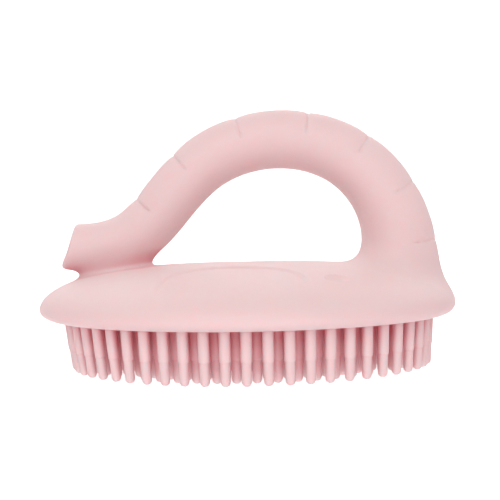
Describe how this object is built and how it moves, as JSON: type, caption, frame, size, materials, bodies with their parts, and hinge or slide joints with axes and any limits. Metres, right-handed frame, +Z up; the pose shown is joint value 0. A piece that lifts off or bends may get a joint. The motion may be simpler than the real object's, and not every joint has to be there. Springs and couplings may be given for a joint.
{
  "type": "rubber curry brush",
  "caption": "Hand-held soft rubber grooming brush: domed oval head with an arched trunk-shaped finger loop on top and stepped soft pins underneath.",
  "frame": {"origin": "bottom centre of the brush's box as it stands on its pins: the plane of the pin tips, midway along the head and across it", "axes": "+X along the head from the trunk's tip to the trunk's root, +Y across the head, +Z up from the pin tips to the top of the trunk"},
  "size_m": [0.1332, 0.107, 0.0817],
  "materials": {
    "pink_silicone": "matte moulded silicone rubber",
    "white_polypropylene": "plain moulded, hidden inside",
    "stainless_steel": "plain turned, hidden inside"
  },
  "bodies": {
    "root": {"grip_shell": "pink_silicone", "bristle_pad": "pink_silicone", "handle_core": "white_polypropylene", "core_plate": "white_polypropylene", "core_screws": "stainless_steel"}
  },
  "joints": []
}
